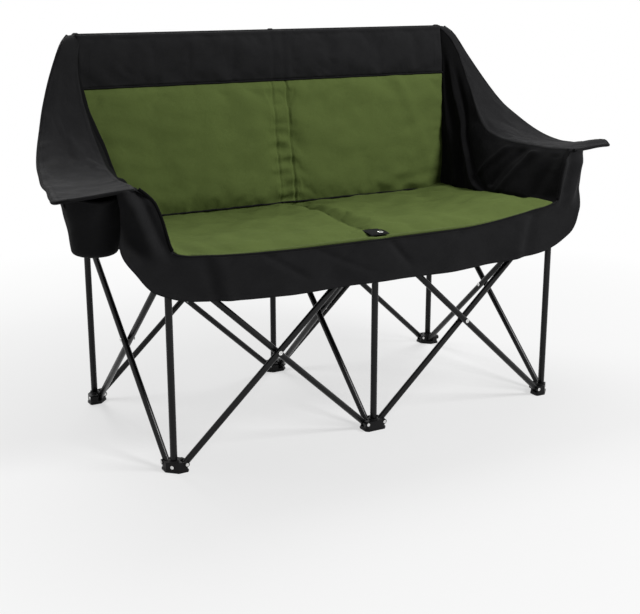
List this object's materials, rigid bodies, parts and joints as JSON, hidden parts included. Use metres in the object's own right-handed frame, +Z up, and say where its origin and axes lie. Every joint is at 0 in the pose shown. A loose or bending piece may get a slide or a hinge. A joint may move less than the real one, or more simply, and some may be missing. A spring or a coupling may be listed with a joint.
{
  "type": "folding camping loveseat",
  "caption": "Double-width folding camping chair with a bucket seat, swept armrests, a padded back with a top band, a cup holder and a scissor frame that closes to a bundle.",
  "frame": {"origin": "centre of the footprint, on the floor under the six feet", "axes": "+Z up, +X to the right end of the seat as seen from the front, +Y from the front to the back"},
  "size_m": [1.466, 0.5775, 0.926],
  "materials": {
    "frame_steel": "satin",
    "moulded_plastic": "satin",
    "bright_rivet": "satin",
    "black_fabric": "matte",
    "green_fabric": "matte"
  },
  "bodies": {
    "rear_centre": {"rear_centre_post": "frame_steel", "rear_centre_foot": "moulded_plastic", "top_band": "black_fabric", "back_pad": "green_fabric", "back_lining": "black_fabric"},
    "rear_left_inner_brace": {"rear_left_inner_brace": "frame_steel", "rear_left_cross_rivet": "bright_rivet"},
    "rear_left_outer_brace": {"rear_left_outer_brace": "frame_steel"},
    "rear_left": {"rear_left_post": "frame_steel", "rear_left_foot": "moulded_plastic", "left_side_wall": "black_fabric"},
    "rear_left_hub": {"rear_left_hub": "moulded_plastic"},
    "rear_centre_hub": {"rear_centre_hub": "moulded_plastic"},
    "rear_right_inner_brace": {"rear_right_inner_brace": "frame_steel", "rear_right_cross_rivet": "bright_rivet"},
    "rear_right_outer_brace": {"rear_right_outer_brace": "frame_steel"},
    "rear_right": {"rear_right_post": "frame_steel", "rear_right_foot": "moulded_plastic", "right_side_wall": "black_fabric"},
    "rear_right_hub": {"rear_right_hub": "moulded_plastic"},
    "middle_rear_brace": {"middle_rear_brace": "frame_steel", "middle_cross_rivet": "bright_rivet"},
    "middle_front_brace": {"middle_front_brace": "frame_steel"},
    "front_centre": {"front_centre_post": "frame_steel", "front_centre_foot": "moulded_plastic"},
    "front_centre_hub": {"front_centre_hub": "moulded_plastic", "front_centre_slide_tube": "frame_steel", "front_skirt": "black_fabric", "centre_tab": "black_fabric", "tab_eyelet": "bright_rivet"},
    "front_left_inner_brace": {"front_left_inner_brace": "frame_steel", "front_left_cross_rivet": "bright_rivet"},
    "front_left_outer_brace": {"front_left_outer_brace": "frame_steel"},
    "front_left": {"front_left_post": "frame_steel", "front_left_foot": "moulded_plastic"},
    "front_left_hub": {"front_left_hub": "moulded_plastic", "front_left_slide_tube": "frame_steel"},
    "front_right_inner_brace": {"front_right_inner_brace": "frame_steel", "front_right_cross_rivet": "bright_rivet"},
    "front_right_outer_brace": {"front_right_outer_brace": "frame_steel"},
    "front_right": {"front_right_post": "frame_steel", "front_right_foot": "moulded_plastic"},
    "front_right_hub": {"front_right_hub": "moulded_plastic", "front_right_slide_tube": "frame_steel"},
    "left_end_rear_brace": {"left_end_rear_brace": "frame_steel", "left_end_cross_rivet": "bright_rivet"},
    "left_end_front_brace": {"left_end_front_brace": "frame_steel"},
    "right_end_rear_brace": {"right_end_rear_brace": "frame_steel", "right_end_cross_rivet": "bright_rivet"},
    "right_end_front_brace": {"right_end_front_brace": "frame_steel"},
    "left_arm": {"left_arm_tube": "frame_steel"},
    "right_arm": {"right_arm_tube": "frame_steel"},
    "seat": {"seat_sling": "black_fabric", "seat_pad": "green_fabric"},
    "left_armrest": {"left_arm_flap": "black_fabric", "cup_holder": "black_fabric"},
    "right_armrest": {"right_arm_flap": "black_fabric"}
  },
  "joints": [
    {"name": "fold", "type": "hinge", "parent": "rear_centre", "child": "rear_left_inner_brace", "pos_m": [-0.023, 0.26, 0.018], "axis": [0, 1, 0], "range_deg": [0, 44.8], "deforming": ["seat_sling", "seat_pad", "back_pad", "back_lining", "top_band", "left_side_wall", "right_side_wall", "left_arm_flap", "right_arm_flap", "front_skirt", "cup_holder"]},
    {"name": "rear_left_crossing", "type": "hinge", "parent": "rear_left_inner_brace", "child": "rear_left_outer_brace", "pos_m": [-0.26, 0.26, 0.237], "axis": [0, -1, 0], "range_deg": [0, 90]},
    {"name": "rear_left_foot_pin", "type": "hinge", "parent": "rear_left_outer_brace", "child": "rear_left", "pos_m": [-0.497, 0.26, 0.018], "axis": [0, 1, 0], "range_deg": [0, 45]},
    {"name": "rear_left_hub_pin", "type": "hinge", "parent": "rear_left_inner_brace", "child": "rear_left_hub", "pos_m": [-0.497, 0.26, 0.456], "axis": [0, -1, 0], "range_deg": [0, 45]},
    {"name": "rear_centre_hub_pin", "type": "hinge", "parent": "rear_left_outer_brace", "child": "rear_centre_hub", "pos_m": [-0.023, 0.26, 0.456], "axis": [0, 1, 0], "range_deg": [0, 45]},
    {"name": "rear_right_inner_brace_lift", "type": "hinge", "parent": "rear_centre", "child": "rear_right_inner_brace", "pos_m": [0.023, 0.26, 0.018], "axis": [0, -1, 0], "range_deg": [0, 45]},
    {"name": "rear_right_crossing", "type": "hinge", "parent": "rear_right_inner_brace", "child": "rear_right_outer_brace", "pos_m": [0.26, 0.26, 0.237], "axis": [0, 1, 0], "range_deg": [0, 90]},
    {"name": "rear_right_foot_pin", "type": "hinge", "parent": "rear_right_outer_brace", "child": "rear_right", "pos_m": [0.497, 0.26, 0.018], "axis": [0, -1, 0], "range_deg": [0, 45]},
    {"name": "rear_right_hub_pin", "type": "hinge", "parent": "rear_right_inner_brace", "child": "rear_right_hub", "pos_m": [0.497, 0.26, 0.456], "axis": [0, 1, 0], "range_deg": [0, 45]},
    {"name": "middle_rear_brace_lift", "type": "hinge", "parent": "rear_centre", "child": "middle_rear_brace", "pos_m": [0, 0.237, 0.018], "axis": [-1, 0, 0], "range_deg": [0, 45]},
    {"name": "middle_crossing", "type": "hinge", "parent": "middle_rear_brace", "child": "middle_front_brace", "pos_m": [0, 0, 0.237], "axis": [1, 0, 0], "range_deg": [0, 90]},
    {"name": "front_centre_foot_pin", "type": "hinge", "parent": "middle_front_brace", "child": "front_centre", "pos_m": [0, -0.237, 0.018], "axis": [-1, 0, 0], "range_deg": [0, 45]},
    {"name": "front_centre_hub_pin", "type": "hinge", "parent": "middle_rear_brace", "child": "front_centre_hub", "pos_m": [0, -0.237, 0.456], "axis": [1, 0, 0], "range_deg": [0, 45]},
    {"name": "front_left_inner_brace_lift", "type": "hinge", "parent": "front_centre", "child": "front_left_inner_brace", "pos_m": [-0.023, -0.26, 0.018], "axis": [0, 1, 0], "range_deg": [0, 45]},
    {"name": "front_left_crossing", "type": "hinge", "parent": "front_left_inner_brace", "child": "front_left_outer_brace", "pos_m": [-0.26, -0.26, 0.237], "axis": [0, -1, 0], "range_deg": [0, 90]},
    {"name": "front_left_foot_pin", "type": "hinge", "parent": "front_left_outer_brace", "child": "front_left", "pos_m": [-0.497, -0.26, 0.018], "axis": [0, 1, 0], "range_deg": [0, 45]},
    {"name": "front_left_hub_pin", "type": "hinge", "parent": "front_left_inner_brace", "child": "front_left_hub", "pos_m": [-0.497, -0.26, 0.456], "axis": [0, -1, 0], "range_deg": [0, 45]},
    {"name": "front_right_inner_brace_lift", "type": "hinge", "parent": "front_centre", "child": "front_right_inner_brace", "pos_m": [0.023, -0.26, 0.018], "axis": [0, -1, 0], "range_deg": [0, 45]},
    {"name": "front_right_crossing", "type": "hinge", "parent": "front_right_inner_brace", "child": "front_right_outer_brace", "pos_m": [0.26, -0.26, 0.237], "axis": [0, 1, 0], "range_deg": [0, 90]},
    {"name": "front_right_foot_pin", "type": "hinge", "parent": "front_right_outer_brace", "child": "front_right", "pos_m": [0.497, -0.26, 0.018], "axis": [0, -1, 0], "range_deg": [0, 45]},
    {"name": "front_right_hub_pin", "type": "hinge", "parent": "front_right_inner_brace", "child": "front_right_hub", "pos_m": [0.497, -0.26, 0.456], "axis": [0, 1, 0], "range_deg": [0, 45]},
    {"name": "left_end_rear_brace_lift", "type": "hinge", "parent": "rear_left", "child": "left_end_rear_brace", "pos_m": [-0.52, 0.237, 0.018], "axis": [-1, 0, 0], "range_deg": [0, 45]},
    {"name": "left_end_crossing", "type": "hinge", "parent": "left_end_rear_brace", "child": "left_end_front_brace", "pos_m": [-0.52, 0, 0.237], "axis": [1, 0, 0], "range_deg": [0, 90]},
    {"name": "right_end_rear_brace_lift", "type": "hinge", "parent": "rear_right", "child": "right_end_rear_brace", "pos_m": [0.52, 0.237, 0.018], "axis": [-1, 0, 0], "range_deg": [0, 45]},
    {"name": "right_end_crossing", "type": "hinge", "parent": "right_end_rear_brace", "child": "right_end_front_brace", "pos_m": [0.52, 0, 0.237], "axis": [1, 0, 0], "range_deg": [0, 90]},
    {"name": "left_arm_pin", "type": "hinge", "parent": "front_left_hub", "child": "left_arm", "pos_m": [-0.543, -0.26, 0.456], "axis": [0, 1, 0], "range_deg": [0, 20]},
    {"name": "right_arm_pin", "type": "hinge", "parent": "front_right_hub", "child": "right_arm", "pos_m": [0.543, -0.26, 0.456], "axis": [0, -1, 0], "range_deg": [0, 20]},
    {"name": "seat_drop", "type": "hinge", "parent": "front_centre_hub", "child": "seat", "pos_m": [0, -0.2865, 0.503], "axis": [-1, 0, 0], "range_deg": [0, 90]},
    {"name": "left_armrest_drop", "type": "hinge", "parent": "rear_left", "child": "left_armrest", "pos_m": [-0.529, 0.24, 0.914], "axis": [1, 0, 0], "range_deg": [0, 45]},
    {"name": "right_armrest_drop", "type": "hinge", "parent": "rear_right", "child": "right_armrest", "pos_m": [0.529, 0.24, 0.914], "axis": [1, 0, 0], "range_deg": [0, 45]}
  ],
  "couplings": [
    {"joint": "rear_left_crossing", "follows": "fold", "ratio": 2},
    {"joint": "rear_left_foot_pin", "follows": "fold", "ratio": 1},
    {"joint": "rear_left_hub_pin", "follows": "fold", "ratio": 1},
    {"joint": "rear_centre_hub_pin", "follows": "fold", "ratio": 1},
    {"joint": "rear_right_inner_brace_lift", "follows": "fold", "ratio": 1},
    {"joint": "rear_right_crossing", "follows": "fold", "ratio": 2},
    {"joint": "rear_right_foot_pin", "follows": "fold", "ratio": 1},
    {"joint": "rear_right_hub_pin", "follows": "fold", "ratio": 1},
    {"joint": "middle_rear_brace_lift", "follows": "fold", "ratio": 1},
    {"joint": "middle_crossing", "follows": "fold", "ratio": 2},
    {"joint": "front_centre_foot_pin", "follows": "fold", "ratio": 1},
    {"joint": "front_centre_hub_pin", "follows": "fold", "ratio": 1},
    {"joint": "front_left_inner_brace_lift", "follows": "fold", "ratio": 1},
    {"joint": "front_left_crossing", "follows": "fold", "ratio": 2},
    {"joint": "front_left_foot_pin", "follows": "fold", "ratio": 1},
    {"joint": "front_left_hub_pin", "follows": "fold", "ratio": 1},
    {"joint": "front_right_inner_brace_lift", "follows": "fold", "ratio": 1},
    {"joint": "front_right_crossing", "follows": "fold", "ratio": 2},
    {"joint": "front_right_foot_pin", "follows": "fold", "ratio": 1},
    {"joint": "front_right_hub_pin", "follows": "fold", "ratio": 1},
    {"joint": "left_end_rear_brace_lift", "follows": "fold", "ratio": 1},
    {"joint": "left_end_crossing", "follows": "fold", "ratio": 2},
    {"joint": "right_end_rear_brace_lift", "follows": "fold", "ratio": 1},
    {"joint": "right_end_crossing", "follows": "fold", "ratio": 2},
    {"joint": "left_arm_pin", "follows": "fold", "ratio": 0.43527},
    {"joint": "right_arm_pin", "follows": "fold", "ratio": 0.43527},
    {"joint": "seat_drop", "follows": "fold", "ratio": 2},
    {"joint": "left_armrest_drop", "follows": "fold", "ratio": 1},
    {"joint": "right_armrest_drop", "follows": "fold", "ratio": 1}
  ]
}
